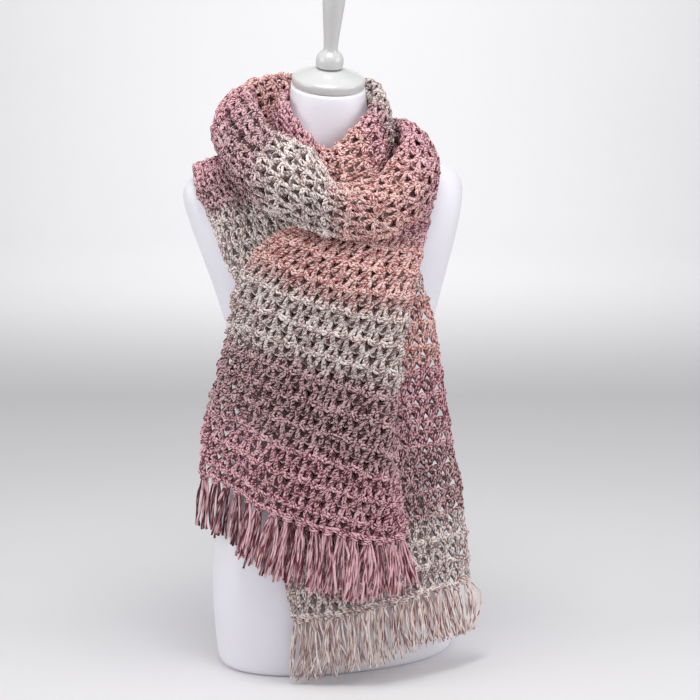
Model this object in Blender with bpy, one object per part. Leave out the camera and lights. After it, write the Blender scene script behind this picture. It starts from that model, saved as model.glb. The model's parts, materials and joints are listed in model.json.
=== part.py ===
"""A crochet scarf wound twice round the neck of a limbless dress form.

The form stands on its flat base with its front towards -Y and +Z up, and its
origin is the middle of the base. The scarf is one long band, built as the four
stretches that show: the front tail, the loop next to the neck, the fat outer
loop, and the under tail, which comes over the left shoulder of the picture.
Every stretch is a wall through sections of the band, each given at a few named
wales, the lengthwise lines of stitches, so u runs from 0 at one selvedge to 1
at the other. All sizes are metres.
"""
import math

import bpy
from mathutils import Vector

# Driving dimensions
CLOTH = 0.005             # two yarns of the crochet, one over the other
FRINGE = 0.009            # depth of a row of tassels
SEAM = 0.0003             # gap that pieces keep where they meet
HEM_GAP = 0.0011          # the same at a hem, whose tassels hang at a slant
REST = CLOTH / 2 + 0.0014  # from the form to the middle of a layer that lies on it
ON_SHOULDER = REST + 0.0012   # the same where the cloth bends over the shoulder's ridge
OVER_TAIL = REST + CLOTH + 0.001  # and to the middle of a loop that lies on a tail
NECK_Y = 0.031            # the neck stands behind the middle of the base
NECK_TOP = 0.795
NECK_TILT = math.radians(13.0)   # the neck is cut lower at the front
AXES = (Vector((1, 0, 0)), Vector((0, 1, 0)), Vector((0, 0, 1)))
FORM_SIDES = 56
TURNED_SIDES = 40


def table(columns, *rows):
    """Rows of numbers as records with the named columns."""
    names = columns.split()
    return [dict(zip(names, row)) for row in rows]


# The dress form, level by level: half width, half depth, middle of the section
# and how square it is (2 is an ellipse).
FORM_SECTIONS = table(
    "z      half_width half_depth middle_y square",
    (0.000, 0.1600, 0.0895, 0.000, 2.2),
    (0.002, 0.1645, 0.0935, 0.000, 2.2),
    (0.007, 0.1680, 0.0975, 0.000, 2.2),
    (0.020, 0.1700, 0.1010, 0.000, 2.2),
    (0.044, 0.1725, 0.1040, 0.000, 2.2),
    (0.104, 0.1760, 0.1080, 0.001, 2.2),
    (0.174, 0.1720, 0.1060, 0.003, 2.2),
    (0.254, 0.1560, 0.0990, 0.008, 2.2),
    (0.334, 0.1380, 0.0920, 0.013, 2.2),
    (0.394, 0.1320, 0.0920, 0.016, 2.2),
    (0.454, 0.1400, 0.1000, 0.021, 2.2),
    (0.514, 0.1570, 0.1110, 0.027, 2.2),
    (0.564, 0.1740, 0.1140, 0.032, 2.2),
    (0.604, 0.1880, 0.1070, 0.038, 2.2),
    (0.634, 0.1970, 0.0940, 0.045, 2.2),
    (0.656, 0.2000, 0.0790, 0.049, 2.2),
    (0.674, 0.1900, 0.0660, 0.049, 2.1),
    (0.687, 0.1600, 0.0590, 0.045, 2.0),
    (0.698, 0.1220, 0.0560, 0.042, 2.0),
    (0.710, 0.0890, 0.0540, 0.038, 2.0),
    (0.726, 0.0670, 0.0525, 0.034, 2.0),
    (0.746, 0.0565, 0.0520, 0.032, 2.0),
    (0.769, 0.0528, 0.0515, 0.031, 2.0),
)

# The turned cap on the neck and its post: radius and height up its own axis.
CAP_PROFILE = table(
    "radius height",
    (0.0460, 0.0000),
    (0.0492, 0.0010),
    (0.0500, 0.0030),
    (0.0500, 0.0098),
    (0.0490, 0.0122),
    (0.0440, 0.0150),
    (0.0330, 0.0187),
    (0.0240, 0.0219),
    (0.0196, 0.0245),
)
POST_PROFILE = table(
    "radius height",
    (0.0170, 0.0248),
    (0.0184, 0.0272),
    (0.0190, 0.0320),
    (0.0188, 0.0370),
    (0.0176, 0.0420),
    (0.0140, 0.0460),
    (0.0104, 0.0482),
    (0.0094, 0.0510),
    (0.0104, 0.0660),
    (0.0126, 0.0880),
    (0.0149, 0.1100),
    (0.0158, 0.1210),
    (0.0155, 0.1280),
    (0.0138, 0.1340),
    (0.0098, 0.1382),
    (0.0040, 0.1400),
)

# The front tail from its hem upwards, over the right shoulder of the picture
# and down behind it. Each section names six wales as points (x, y, z): the
# left selvedge, the bend where the tail turns back round the form's side, the
# left and middle of the flat front, the fold at the right, and the selvedge
# that this fold turns under.
FRONT_TAIL_WALES = (0.0, 0.21, 0.33, 0.62, 0.88, 1.0)
FRONT_TAIL = table(
    "selvedge  bend  front_left  front_middle  fold  turned_under",
    ((-0.190, 0.012, 0.279), (-0.149, -0.038, 0.262), (-0.131, -0.084, 0.249),
     (-0.054, -0.138, 0.226), (0.019, -0.153, 0.208), (0.051, -0.147, 0.214)),
    ((-0.182, 0.006, 0.356), (-0.142, -0.050, 0.344), (-0.123, -0.092, 0.331),
     (-0.052, -0.141, 0.309), (0.016, -0.156, 0.285), (0.041, -0.148, 0.275)),
    ((-0.166, -0.007, 0.422), (-0.132, -0.064, 0.412), (-0.112, -0.101, 0.401),
     (-0.045, -0.143, 0.382), (0.021, -0.157, 0.358), (0.038, -0.142, 0.345)),
    ((-0.157, -0.024, 0.482), (-0.129, -0.080, 0.475), (-0.105, -0.112, 0.467),
     (-0.038, -0.146, 0.446), (0.034, -0.156, 0.424), (0.040, -0.139, 0.414)),
    ((-0.152, -0.052, 0.548), (-0.123, -0.094, 0.536), (-0.097, -0.120, 0.525),
     (-0.029, -0.149, 0.505), (0.042, -0.154, 0.488), (0.048, -0.138, 0.478)),
    ((-0.122, -0.087, 0.606), (-0.096, -0.112, 0.592), (-0.074, -0.128, 0.581),
     (-0.010, -0.150, 0.560), (0.060, -0.143, 0.552), (0.068, -0.131, 0.545)),
    ((-0.062, -0.094, 0.634), (-0.040, -0.103, 0.627), (-0.020, -0.108, 0.622),
     (0.034, -0.115, 0.607), (0.083, -0.105, 0.594), (0.091, -0.094, 0.588)),
    ((0.040, -0.076, 0.661), (0.050, -0.076, 0.658), (0.059, -0.075, 0.655),
     (0.083, -0.070, 0.649), (0.111, -0.060, 0.640), (0.119, -0.051, 0.635)),
    ((0.080, -0.010, 0.709), (0.088, -0.008, 0.705), (0.095, -0.007, 0.701),
     (0.112, -0.004, 0.694), (0.131, 0.000, 0.687), (0.139, 0.002, 0.683)),
    ((0.080, 0.046, 0.713), (0.088, 0.047, 0.709), (0.095, 0.048, 0.704),
     (0.112, 0.049, 0.700), (0.131, 0.051, 0.694), (0.138, 0.053, 0.690)),
)

# The under tail from its hem upwards, over the left shoulder of the picture
# and round to the middle of the back. Five wales, from the selvedge towards
# the left of the picture to the one towards the right.
TAIL_WALES = (0.0, 0.25, 0.5, 0.75, 1.0)
UNDER_TAIL = table(
    "left_selvedge  left  middle  right  right_selvedge",
    ((-0.094, -0.104, 0.095), (-0.040, -0.128, 0.105), (0.021, -0.136, 0.115),
     (0.093, -0.122, 0.121), (0.164, -0.092, 0.121)),
    ((-0.107, -0.088, 0.198), (-0.055, -0.123, 0.209), (0.005, -0.134, 0.219),
     (0.075, -0.121, 0.225), (0.154, -0.093, 0.222)),
    ((-0.114, -0.078, 0.307), (-0.067, -0.115, 0.319), (-0.012, -0.130, 0.326),
     (0.055, -0.123, 0.331), (0.132, -0.097, 0.330)),
    ((-0.118, -0.073, 0.401), (-0.079, -0.107, 0.411), (-0.028, -0.126, 0.419),
     (0.037, -0.122, 0.424), (0.116, -0.099, 0.425)),
    ((-0.131, -0.062, 0.492), (-0.090, -0.099, 0.501), (-0.041, -0.119, 0.508),
     (0.020, -0.121, 0.512), (0.099, -0.101, 0.510)),
    ((-0.156, -0.028, 0.567), (-0.113, -0.071, 0.580), (-0.067, -0.101, 0.588),
     (-0.008, -0.108, 0.592), (0.064, -0.094, 0.588)),
    ((-0.173, -0.011, 0.621), (-0.129, -0.036, 0.635), (-0.087, -0.066, 0.639),
     (-0.046, -0.081, 0.636), (0.005, -0.089, 0.628)),
    ((-0.183, 0.020, 0.661), (-0.143, 0.003, 0.674), (-0.110, -0.012, 0.684),
     (-0.086, -0.024, 0.686), (-0.060, -0.040, 0.680)),
    ((-0.182, 0.054, 0.689), (-0.145, 0.044, 0.701), (-0.125, 0.036, 0.705),
     (-0.109, 0.026, 0.707), (-0.095, 0.016, 0.709)),
    ((-0.150, 0.104, 0.664), (-0.130, 0.092, 0.686), (-0.116, 0.084, 0.698),
     (-0.105, 0.078, 0.706), (-0.093, 0.074, 0.711)),
    ((-0.094, 0.142, 0.616), (-0.088, 0.136, 0.654), (-0.084, 0.130, 0.684),
     (-0.080, 0.122, 0.706), (-0.068, 0.110, 0.696)),
    ((-0.040, 0.154, 0.598), (-0.039, 0.154, 0.650), (-0.038, 0.154, 0.698),
     (-0.036, 0.147, 0.738), (-0.034, 0.136, 0.698)),
    ((0.000, 0.155, 0.594), (0.000, 0.155, 0.649), (0.000, 0.156, 0.709),
     (0.000, 0.147, 0.756), (0.000, 0.139, 0.706)),
)

# The loops, by the angle round the neck: 0 is the front, and the angle grows
# towards the right of the picture. Each wale is (radius, height): the edge of
# the inner flap, the crown where the loop turns over, the bulge of its face,
# the lowest line, and the selvedge tucked up behind.
INNER_LOOP = table(
    "angle flap crown bulge low tucked",
    (-138, (0.0590, 0.751), (0.0610, 0.780), (0.0670, 0.770), (0.0690, 0.749), (0.0690, 0.736)),
    (-110, (0.0590, 0.746), (0.0620, 0.782), (0.0680, 0.767), (0.0720, 0.744), (0.0750, 0.732)),
    (-80, (0.0590, 0.736), (0.0630, 0.772), (0.0720, 0.757), (0.0790, 0.734), (0.0850, 0.722)),
    (-50, (0.0590, 0.716), (0.0630, 0.742), (0.0790, 0.733), (0.0900, 0.713), (0.0920, 0.701)),
    (-18, (0.0590, 0.698), (0.0640, 0.715), (0.0850, 0.702), (0.0990, 0.678), (0.1030, 0.668)),
    (15, (0.0590, 0.716), (0.0640, 0.741), (0.0850, 0.728), (0.1020, 0.698), (0.1070, 0.682)),
    (45, (0.0590, 0.732), (0.0650, 0.767), (0.0810, 0.760), (0.0920, 0.732), (0.0950, 0.716)),
    (75, (0.0600, 0.742), (0.0680, 0.787), (0.0790, 0.770), (0.0850, 0.739), (0.0870, 0.723)),
    (110, (0.0640, 0.744), (0.0740, 0.796), (0.0850, 0.774), (0.0890, 0.739), (0.0900, 0.721)),
    (145, (0.0700, 0.744), (0.0810, 0.799), (0.0920, 0.770), (0.0950, 0.734), (0.0950, 0.712)),
    (180, (0.0740, 0.744), (0.0860, 0.802), (0.0970, 0.767), (0.1000, 0.728), (0.0990, 0.706)),
)
OUTER_LOOP = table(
    "angle flap crown bulge low tucked",
    (-180, (0.0740, 0.744), (0.0860, 0.802), (0.0970, 0.767), (0.1000, 0.728), (0.0990, 0.706)),
    (-155, (0.0770, 0.745), (0.0920, 0.803), (0.1080, 0.768), (0.1130, 0.731), (0.1080, 0.716)),
    (-128, (0.0830, 0.740), (0.1020, 0.798), (0.1330, 0.768), (0.1370, 0.728), (0.1240, 0.716)),
    (-105, (0.0920, 0.733), (0.1110, 0.787), (0.1510, 0.755), (0.1510, 0.719), (0.1340, 0.718)),
    (-80, (0.0990, 0.722), (0.1100, 0.768), (0.1590, 0.732), (0.1560, 0.698), (0.1420, 0.704)),
    (-58, (0.1070, 0.709), (0.1170, 0.744), (0.1680, 0.703), (0.1600, 0.659), (0.1460, 0.671)),
    (-38, (0.1110, 0.704), (0.1210, 0.732), (0.1740, 0.692), (0.1660, 0.638), (0.1530, 0.649)),
    (-26, (0.1120, 0.696), (0.1210, 0.721), (0.1750, 0.681), (0.1670, 0.626), (0.1560, 0.637)),
    (-14, (0.1180, 0.657), (0.1240, 0.680), (0.1710, 0.663), (0.1650, 0.616), (0.1560, 0.628)),
    (0, (0.1180, 0.655), (0.1230, 0.676), (0.1680, 0.657), (0.1630, 0.611), (0.1550, 0.625)),
    (14, (0.1180, 0.663), (0.1220, 0.685), (0.1670, 0.664), (0.1620, 0.614), (0.1540, 0.627)),
    (35, (0.1180, 0.688), (0.1230, 0.715), (0.1640, 0.690), (0.1600, 0.637), (0.1500, 0.648)),
    (55, (0.1060, 0.714), (0.1110, 0.742), (0.1500, 0.708), (0.1510, 0.664), (0.1410, 0.674)),
    (75, (0.0970, 0.719), (0.1010, 0.746), (0.1310, 0.725), (0.1450, 0.698), (0.1340, 0.706)),
    (100, (0.0970, 0.715), (0.1020, 0.741), (0.1210, 0.725), (0.1390, 0.704), (0.1400, 0.694)),
    (130, (0.1010, 0.705), (0.1070, 0.742), (0.1240, 0.714), (0.1340, 0.674), (0.1360, 0.642)),
    (155, (0.1070, 0.705), (0.1140, 0.751), (0.1260, 0.710), (0.1270, 0.654), (0.1270, 0.604)),
    (180, (0.1080, 0.706), (0.1160, 0.756), (0.1250, 0.709), (0.1240, 0.649), (0.1240, 0.594)),
)

# Where the tassels' ends hang below the wales of each hem.
FRONT_TASSEL_ENDS = ((-0.199, 0.006, 0.201), (-0.162, -0.048, 0.185), (-0.148, -0.089, 0.162),
                     (-0.060, -0.150, 0.132), (0.020, -0.166, 0.128), (0.062, -0.158, 0.142))
UNDER_TASSEL_ENDS = ((-0.088, -0.112, 0.004), (-0.034, -0.138, 0.018), (0.025, -0.148, 0.032),
                     (0.102, -0.132, 0.046), (0.178, -0.100, 0.048))


def material(name, colour, roughness):
    """A plain Principled material."""
    made = bpy.data.materials.new(name)
    made.use_nodes = True
    shader = made.node_tree.nodes["Principled BSDF"]
    shader.inputs["Base Color"].default_value = (*colour, 1.0)
    shader.inputs["Roughness"].default_value = roughness
    return made


def new_object(name, points, faces, finish):
    """A smooth-shaded object with its place in its mesh."""
    mesh = bpy.data.meshes.new(name)
    mesh.from_pydata(points, [], faces)
    mesh.shade_smooth()
    mesh.set_sharp_from_angle(angle=math.radians(50))
    mesh.materials.append(finish)
    made = bpy.data.objects.new(name, mesh)
    bpy.context.collection.objects.link(made)
    return made


def close_rings(rings):
    """Faces that join equal rings of points in turn and cap both ends."""
    count = len(rings[0])
    points = [point for ring in rings for point in ring]
    faces = [tuple(reversed(range(count)))]
    for level in range(len(rings) - 1):
        for i in range(count):
            j = (i + 1) % count
            low, high = level * count, (level + 1) * count
            faces.append((low + i, low + j, high + j, high + i))
    last = (len(rings) - 1) * count
    faces.append(tuple(last + i for i in range(count)))
    return points, faces


def form_ring(section, tilt=0.0):
    """One level of the form, a superellipse that may slope down to the front."""
    ring = []
    power = 2.0 / section["square"]
    for i in range(FORM_SIDES):
        angle = 2 * math.pi * i / FORM_SIDES
        c, s = math.cos(angle), math.sin(angle)
        x = section["half_width"] * math.copysign(abs(c) ** power, c)
        y = section["half_depth"] * math.copysign(abs(s) ** power, s)
        ring.append((x, section["middle_y"] + y, section["z"] + y * math.tan(tilt)))
    return ring


def dress_form(finish):
    """The solid torso and neck, its neck cut at a slope for the cap."""
    rings = [form_ring(section) for section in FORM_SECTIONS]
    neck = dict(FORM_SECTIONS[-1], middle_y=NECK_Y)
    for height, radius, share in ((0.784, 0.0514, 0.6), (NECK_TOP, 0.0502, 1.0)):
        level = dict(neck, z=height, half_width=radius, half_depth=radius)
        rings.append(form_ring(level, NECK_TILT * share))
    return new_object("dress_form", *close_rings(rings), finish)


def turned(name, profile, finish):
    """A turned piece that stands on the sloping top of the neck."""
    foot = Vector((0.0, NECK_Y, NECK_TOP))
    axis = Vector((0.0, -math.sin(NECK_TILT), math.cos(NECK_TILT)))
    across = Vector((1.0, 0.0, 0.0))
    back = axis.cross(across)
    rings = []
    for step in profile:
        centre = foot + axis * (step["height"] + SEAM)
        ring = []
        for i in range(TURNED_SIDES):
            angle = 2 * math.pi * i / TURNED_SIDES
            ring.append(centre + step["radius"] * (across * math.cos(angle) + back * math.sin(angle)))
        rings.append(ring)
    return new_object(name, *close_rings(rings), finish)


def smooth(knots, values, t):
    """A smooth curve through vectors at uneven knots, read at t."""
    last = len(knots) - 1
    i = max(0, min(last - 1, sum(1 for knot in knots[1:-1] if knot <= t)))

    def slope(k):
        a, b = max(k - 1, 0), min(k + 1, last)
        return (values[b] - values[a]) / (knots[b] - knots[a])

    span = knots[i + 1] - knots[i]
    s = (t - knots[i]) / span
    return ((2 * s ** 3 - 3 * s ** 2 + 1) * values[i] + (s ** 3 - 2 * s ** 2 + s) * span * slope(i)
            + (3 * s ** 2 - 2 * s ** 3) * values[i + 1] + (s ** 3 - s ** 2) * span * slope(i + 1))


def form_level(point):
    """How far out a point is of the form's section there: 1 on its skin."""
    z = min(max(point.z, 0.0), FORM_SECTIONS[-1]["z"])
    i = next(k for k in range(1, len(FORM_SECTIONS)) if z <= FORM_SECTIONS[k]["z"])
    low, high = FORM_SECTIONS[i - 1], FORM_SECTIONS[i]
    share = (z - low["z"]) / (high["z"] - low["z"])
    at = {key: low[key] + (high[key] - low[key]) * share for key in low}
    across = abs(point.x / at["half_width"]) ** at["square"]
    deep = abs((point.y - at["middle_y"]) / at["half_depth"]) ** at["square"]
    return (across + deep) ** (1 / at["square"])


def clear_of_form(point, gap):
    """The point itself, or the nearest one that lies the gap out from the form."""
    point = point.copy()
    step = 0.0002
    for _ in range(6):
        level = form_level(point)
        uphill = Vector([form_level(point + axis * step) - level for axis in AXES]) / step
        distance = (level - 1) / uphill.length
        if distance >= gap:
            break
        point += uphill.normalized() * (gap - distance)
    return point


def band(sections, wales, across, along, gap):
    """Points of a band through its sections, a row for each step along it.

    The rows lie as far apart as the sections do, and none nearer to the form
    than the gap.
    """
    knots = [0.0]
    for before, after in zip(sections, sections[1:]):
        step = sum((a - b).length for a, b in zip(before, after)) / len(before)
        knots.append(knots[-1] + step)
    grid = []
    for row in range(along + 1):
        v = knots[-1] * row / along
        points = [smooth(knots, [section[k] for section in sections], v) for k in range(len(wales))]
        grid.append([clear_of_form(smooth(wales, points, u), gap) for u in across])
    return grid


def wall(name, grid, thickness, finish, seams=()):
    """A closed wall round a grid of points. A row among the seams ends flat at the
    middle of the back, half the seam's gap short of it."""
    rows, columns = len(grid), len(grid[0])
    sides = ([], [])
    for r in range(rows):
        for c in range(columns):
            along = grid[min(r + 1, rows - 1)][c] - grid[max(r - 1, 0)][c]
            over = grid[r][min(c + 1, columns - 1)] - grid[r][max(c - 1, 0)]
            normal = over.cross(along).normalized()
            for side, way in zip(sides, (0.5, -0.5)):
                point = grid[r][c] + normal * (thickness * way)
                if r in seams:
                    point.x = math.copysign(SEAM / 2, grid[abs(r - 1)][c].x)
                side.append(point)
    points = sides[0] + sides[1]
    back = rows * columns
    faces = []
    for r in range(rows - 1):
        for c in range(columns - 1):
            a, b = r * columns + c, r * columns + c + 1
            faces.append((a, b, b + columns, a + columns))
            faces.append((back + b, back + a, back + a + columns, back + b + columns))
    edge = ([(0, c) for c in range(columns - 1)] + [(r, columns - 1) for r in range(rows - 1)]
            + [(rows - 1, c) for c in range(columns - 1, 0, -1)] + [(r, 0) for r in range(rows - 1, 0, -1)])
    for (r, c), (next_r, next_c) in zip(edge, edge[1:] + edge[:1]):
        a, b = r * columns + c, next_r * columns + next_c
        faces.append((b, a, back + a, back + b))
    return new_object(name, points, faces, finish)


def places(row):
    """The wales of a section that is given as points."""
    return [Vector(point) for point in row.values()]


def round_neck(row):
    """The wales of a section that is given by its angle round the neck."""
    angle = math.radians(row["angle"])
    return [Vector((radius * math.sin(angle), NECK_Y - radius * math.cos(angle), height))
            for key, (radius, height) in list(row.items())[1:]]


def even(count):
    return [i / count for i in range(count + 1)]


def fringe(name, hem, wales, ends, across, finish):
    """The reach of the tassels on one hem, a slab of their depth."""
    ends = [Vector(end) for end in ends]
    hem = [top + (end - top).normalized() * HEM_GAP for top, end in zip(hem, ends)]
    grid = []
    for share in (0.0, 0.5, 1.0):
        points = [top.lerp(end, share) for top, end in zip(hem, ends)]
        grid.append([smooth(wales, points, u) for u in across])
    return wall(name, list(reversed(grid)), FRINGE, finish)


def build():
    for old in list(bpy.data.objects):
        bpy.data.objects.remove(old)

    white = material("form_white", (0.84, 0.84, 0.87), 0.45)
    gloss = material("cap_gloss_white", (0.88, 0.88, 0.88), 0.25)
    rose = material("yarn_rose", (0.42, 0.18, 0.22), 0.9)
    beige = material("yarn_beige", (0.50, 0.42, 0.37), 0.9)
    salmon = material("yarn_salmon", (0.60, 0.30, 0.26), 0.9)
    brown = material("yarn_brown", (0.24, 0.13, 0.14), 0.9)

    dress_form(white)
    turned("neck_cap", CAP_PROFILE, gloss)
    turned("cap_post", POST_PROFILE, gloss)

    front_rows = [places(row) for row in FRONT_TAIL]
    under_rows = [places(row) for row in UNDER_TAIL]
    inner_rows = [round_neck(row) for row in INNER_LOOP]
    outer_rows = [round_neck(row) for row in OUTER_LOOP]
    flat_front = [0.84 * i / 11 for i in range(11)]
    turn = [0.84, 0.87, 0.90, 0.93, 0.965, 1.0]
    front = band(front_rows, FRONT_TAIL_WALES, flat_front + turn, 26, ON_SHOULDER)
    under = band(under_rows, TAIL_WALES, even(14), 42, ON_SHOULDER)
    inner = band(inner_rows, TAIL_WALES, even(14), 32, REST)
    outer = band(outer_rows, TAIL_WALES, even(15), 46, OVER_TAIL)
    wall("tail_front", front, CLOTH, rose)
    wall("tail_under", under, CLOTH, brown, seams=(42,))
    wall("loop_inner", inner, CLOTH, salmon, seams=(32,))
    wall("loop_outer", outer, CLOTH, beige, seams=(0, 46))
    fringe("fringe_front", front_rows[0], FRONT_TAIL_WALES, FRONT_TASSEL_ENDS, flat_front + turn, rose)
    fringe("fringe_under", under_rows[0], TAIL_WALES, UNDER_TASSEL_ENDS, even(14), beige)


build()
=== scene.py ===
"""A crochet scarf wound twice round the neck of a smooth white dress form."""
import json
import math

import bpy
import numpy as np
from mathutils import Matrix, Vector
from mathutils.bvhtree import BVHTree

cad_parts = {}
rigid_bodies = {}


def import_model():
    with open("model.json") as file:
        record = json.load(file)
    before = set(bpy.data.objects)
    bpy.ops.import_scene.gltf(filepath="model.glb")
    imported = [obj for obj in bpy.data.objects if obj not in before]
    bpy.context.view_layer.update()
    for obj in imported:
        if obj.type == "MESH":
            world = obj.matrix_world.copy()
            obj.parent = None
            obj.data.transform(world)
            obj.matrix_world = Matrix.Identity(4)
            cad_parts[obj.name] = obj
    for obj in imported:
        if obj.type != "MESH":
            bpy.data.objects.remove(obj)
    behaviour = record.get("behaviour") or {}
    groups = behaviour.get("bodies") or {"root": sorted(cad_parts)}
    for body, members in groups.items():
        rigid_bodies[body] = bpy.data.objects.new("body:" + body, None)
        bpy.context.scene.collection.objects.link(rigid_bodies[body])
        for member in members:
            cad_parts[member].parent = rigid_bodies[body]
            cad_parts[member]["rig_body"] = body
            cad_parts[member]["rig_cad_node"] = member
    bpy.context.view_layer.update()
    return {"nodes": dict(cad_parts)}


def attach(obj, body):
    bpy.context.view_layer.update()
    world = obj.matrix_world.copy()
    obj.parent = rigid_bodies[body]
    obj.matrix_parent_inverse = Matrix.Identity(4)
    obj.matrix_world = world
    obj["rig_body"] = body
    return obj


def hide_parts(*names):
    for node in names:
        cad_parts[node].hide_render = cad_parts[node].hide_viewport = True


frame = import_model()
bpy.ops.object.select_all(action="DESELECT")

# ---------------------------------------------------------------- the studio
# A pale paper sweep with a light of its own, a broad soft light on each side, a small
# one over the collar, and a camera a little above the scarf that looks down on it.
CAMERA_TURN = math.radians(-18.0)
CAMERA_TILT = math.radians(12.2)
CAMERA_AWAY = 3.0
CAMERA_RIGHT = 0.020
CAMERA_HEIGHT = 1.084
LENS_MM = 115
SENSOR_MM = 36
right = Vector((math.cos(CAMERA_TURN), math.sin(CAMERA_TURN), 0))
towards = Vector((math.sin(CAMERA_TURN), -math.cos(CAMERA_TURN), 0))
up = Vector((0, 0, 1))

camera = bpy.data.objects.new("camera", bpy.data.cameras.new("camera"))
bpy.context.collection.objects.link(camera)
camera.location = towards * CAMERA_AWAY + right * CAMERA_RIGHT + up * CAMERA_HEIGHT
camera.rotation_euler = (math.radians(90) - CAMERA_TILT, 0, CAMERA_TURN)
camera.data.lens = LENS_MM
camera.data.sensor_width = SENSOR_MM
bpy.context.scene.camera = camera
bpy.context.scene.view_settings.view_transform = "Standard"

SWEEP_HALF = 12.0
SWEEP_FRONT = -12.0
SWEEP_BACK = 3.4
SWEEP_BEND = 1.5
SWEEP_TOP = 4.5
BEND_STEPS = 16
profile = [(SWEEP_FRONT, 0.0)]
for step in range(BEND_STEPS + 1):
    turn = math.radians(90) * step / BEND_STEPS
    profile.append((SWEEP_BACK + SWEEP_BEND * math.sin(turn), SWEEP_BEND * (1 - math.cos(turn))))
profile.append((SWEEP_BACK + SWEEP_BEND, SWEEP_TOP))
points = [(x, y, z) for y, z in profile for x in (-SWEEP_HALF, SWEEP_HALF)]
faces = [(2 * i, 2 * i + 1, 2 * i + 3, 2 * i + 2) for i in range(len(profile) - 1)]
sweep_mesh = bpy.data.meshes.new("sweep")
sweep_mesh.from_pydata(points, [], faces)
sweep_mesh.shade_smooth()
sweep = bpy.data.objects.new("sweep", sweep_mesh)
bpy.context.collection.objects.link(sweep)
sweep.rotation_euler.z = CAMERA_TURN


class Value:
    """A socket in a finish. Arithmetic on it adds the Math nodes."""

    def __init__(self, finish, socket):
        self.finish = finish
        self.socket = socket

    def maths(self, operation, *values):
        return self.finish.node("ShaderNodeMath", {"operation": operation}, *values)

    def __add__(self, other):
        return self.maths("ADD", self, other)

    def __radd__(self, other):
        return self.maths("ADD", other, self)

    def __sub__(self, other):
        return self.maths("SUBTRACT", self, other)

    def __rsub__(self, other):
        return self.maths("SUBTRACT", other, self)

    def __mul__(self, other):
        return self.maths("MULTIPLY", self, other)

    def __rmul__(self, other):
        return self.maths("MULTIPLY", other, self)

    def sine(self):
        return self.maths("SINE", self)

    def output(self, number):
        """Another output of the same node."""
        return Value(self.finish, self.socket.node.outputs[number])


class Finish:
    """A material with a Principled shader, whose nodes are added one by one."""

    def __init__(self, name, **sockets):
        self.material = bpy.data.materials.new(name)
        self.material.use_nodes = True
        self.tree = self.material.node_tree
        self.shader = self.tree.nodes["Principled BSDF"]
        for socket, value in sockets.items():
            self.set(socket, value)

    def set(self, socket, value):
        """Gives a socket of the shader a value or a link. Its name has _ for spaces."""
        self.fill(self.shader.inputs[socket.replace("_", " ")], value)

    def fill(self, socket, value):
        if isinstance(value, Value):
            self.tree.links.new(value.socket, socket)
        else:
            socket.default_value = value

    def node(self, kind, settings=None, *values, out=0, **sockets):
        """Any node: its settings, then its sockets in order or by name."""
        made = self.tree.nodes.new(kind)
        for name, value in (settings or {}).items():
            if name == "stops":
                ramp = made.color_ramp
                while len(ramp.elements) < len(value):
                    ramp.elements.new(1.0)
                for element, (position, colour) in zip(ramp.elements, value):
                    element.position = position
                    element.color = (*colour, 1.0)
            else:
                setattr(made, name, value)
        for socket, value in zip(made.inputs, values):
            self.fill(socket, value)
        for name, value in sockets.items():
            self.fill(made.inputs[name.replace("_", " ")], value)
        return Value(self, made.outputs[out])

    def mix(self, factor, first, second, **settings):
        """Two colours mixed by a factor. They are sockets 6 and 7 of the Mix node."""
        mixed = self.node("ShaderNodeMix", {"data_type": "RGBA", **settings}, out=2)
        for number, value in ((0, factor), (6, first), (7, second)):
            self.fill(mixed.socket.node.inputs[number], value)
        return mixed


def paint(red, green, blue):
    """A colour as the eye reads it, 0 to 255, in the renderer's linear numbers."""
    return tuple(((c / 255 + 0.055) / 1.055) ** 2.4 if c > 10 else c / 3295
                 for c in (red, green, blue))


paper = Finish("sweep_paper", Roughness=0.9, Specular_IOR_Level=0.1)
place = paper.node("ShaderNodeTexCoord", out="Object")
mottle = paper.node("ShaderNodeTexNoise", None, Vector=place, Scale=1.5, Detail=2.0)
paper.set("Base_Color", paper.mix(mottle, (*paint(239, 238, 240), 1.0), (*paint(243, 242, 243), 1.0)))
sweep_mesh.materials.append(paper.material)

world = bpy.data.worlds.new("studio")
world.use_nodes = True
background = world.node_tree.nodes["Background"]
background.inputs["Color"].default_value = (0.97, 0.97, 1.0, 1.0)
background.inputs["Strength"].default_value = 0.335
bpy.context.scene.world = world

# Square soft lights: place, side in metres, power in watts, and the spot each points at.
CHEST = (0.0, 0.0, 0.5)
COLLAR = (0.0, 0.0, 0.75)
BEND = -4.8 * towards + 1.1 * up
for name, place, size, power, aim in (
        ("left_light", -1.9 * right + 0.7 * towards + 1.2 * up, 1.4, 16, CHEST),
        ("right_light", 1.9 * right + 0.6 * towards + 1.1 * up, 1.4, 16.5, CHEST),
        ("top_light", 0.4 * towards + 1.9 * up, 0.7, 13, COLLAR),
        ("sweep_light", -2.45 * towards + 2.1 * up, 1.6, 45, BEND)):
    lamp = bpy.data.lights.new(name, "AREA")
    lamp.size = size
    lamp.energy = power
    lit = bpy.data.objects.new(name, lamp)
    lit.location = place
    lit.rotation_euler = (Vector(aim) - place).to_track_quat("-Z", "Y").to_euler()
    lit.visible_camera = False
    bpy.context.collection.objects.link(lit)

# ------------------------------------------------------------ the dress form
# A moulded torso without limbs, skinned in smooth white satin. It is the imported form
# itself, its facets rounded off, with its foot kept flat and its neck cut sharp.
NECK_CUT = 0.783
FOOT_EDGE = 0.0001
SMOOTH_LEVELS = 1
SAME_POINT = 0.00001
SAME_PLANE = math.radians(0.5)
QUAD_FACE = math.radians(25)
QUAD_SHAPE = math.radians(40)
SHARP_EDGE = math.radians(40)


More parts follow.
